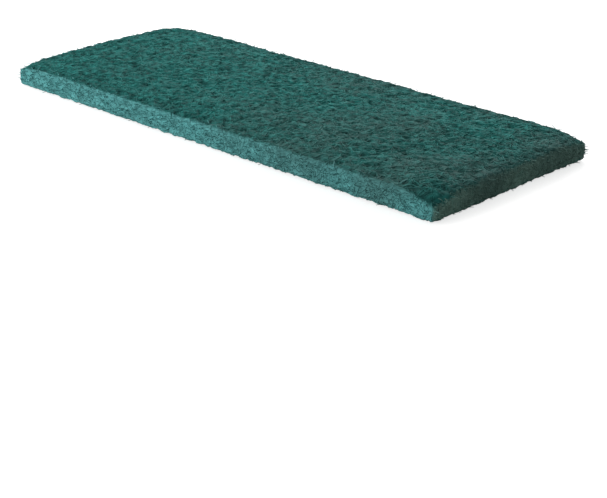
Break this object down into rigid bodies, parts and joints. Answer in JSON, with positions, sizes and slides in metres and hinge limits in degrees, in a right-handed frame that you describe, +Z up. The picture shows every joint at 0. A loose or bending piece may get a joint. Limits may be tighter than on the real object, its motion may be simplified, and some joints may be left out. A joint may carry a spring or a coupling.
{
  "type": "scouring pad",
  "caption": "Flat oblong scouring pad of teal-green nonwoven abrasive web with cut sides, softly rolled top edges and near-square corners.",
  "frame": {"origin": "middle of the face that the pad lies on", "axes": "+X along the pad's length, +Y across its width, +Z up through its thickness"},
  "size_m": [0.26, 0.102, 0.0125],
  "materials": {
    "bonded_web": "matte"
  },
  "bodies": {
    "root": {"pad": "bonded_web"}
  },
  "joints": []
}
